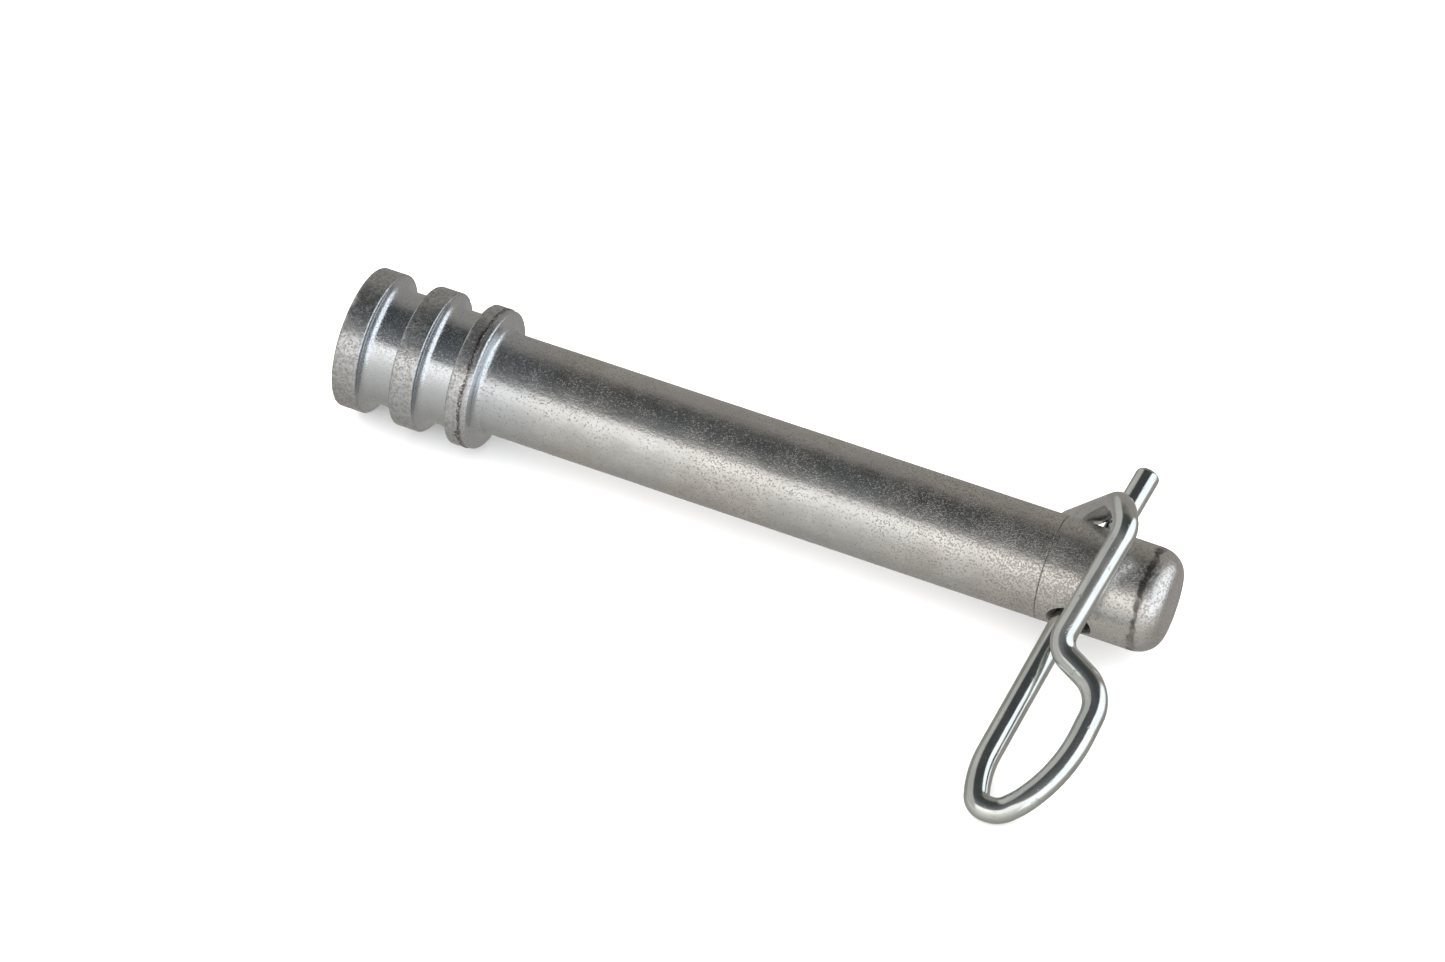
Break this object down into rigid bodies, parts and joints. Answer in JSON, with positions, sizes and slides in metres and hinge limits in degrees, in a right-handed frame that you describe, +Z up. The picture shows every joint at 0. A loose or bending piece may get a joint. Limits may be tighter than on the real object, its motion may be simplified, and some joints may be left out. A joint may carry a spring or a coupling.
{
  "type": "hitch pin with spring clip",
  "caption": "Straight hitch pin with a grooved flanged head and a cross hole that holds a bent spring wire clip hooked round the shank.",
  "frame": {"origin": "on the pin's axis where the straight shank starts, just past the fillet of the bearing face", "axes": "+X along the pin from the grooved head to the tip, +Z up with the pin lying on its flanges and the clip's loop, +Y towards the clip leg's free end"},
  "size_m": [0.1304, 0.0601, 0.0256],
  "materials": {
    "pin_zinc": "worn satin zinc plate",
    "wire_zinc": "bright zinc plated spring wire"
  },
  "bodies": {
    "pin": {"hitch_pin": "pin_zinc"},
    "clip": {"clip_leg": "wire_zinc"},
    "hook": {"clip_handle": "wire_zinc", "clip_hook": "wire_zinc"}
  },
  "joints": [
    {"name": "clip_slide", "type": "slide", "parent": "pin", "child": "clip", "axis": [-0.0976, -0.9684, -0.2294], "range_m": [0, 0.062], "deforming": ["clip_hook"]},
    {"name": "hook_flex", "type": "hinge", "parent": "clip", "child": "hook", "pos_m": [0.09362, -0.03871, -0.00917], "axis": [1, 0, 0], "range_deg": [0, 20], "stiffness_Nm_per_rad": 1}
  ]
}
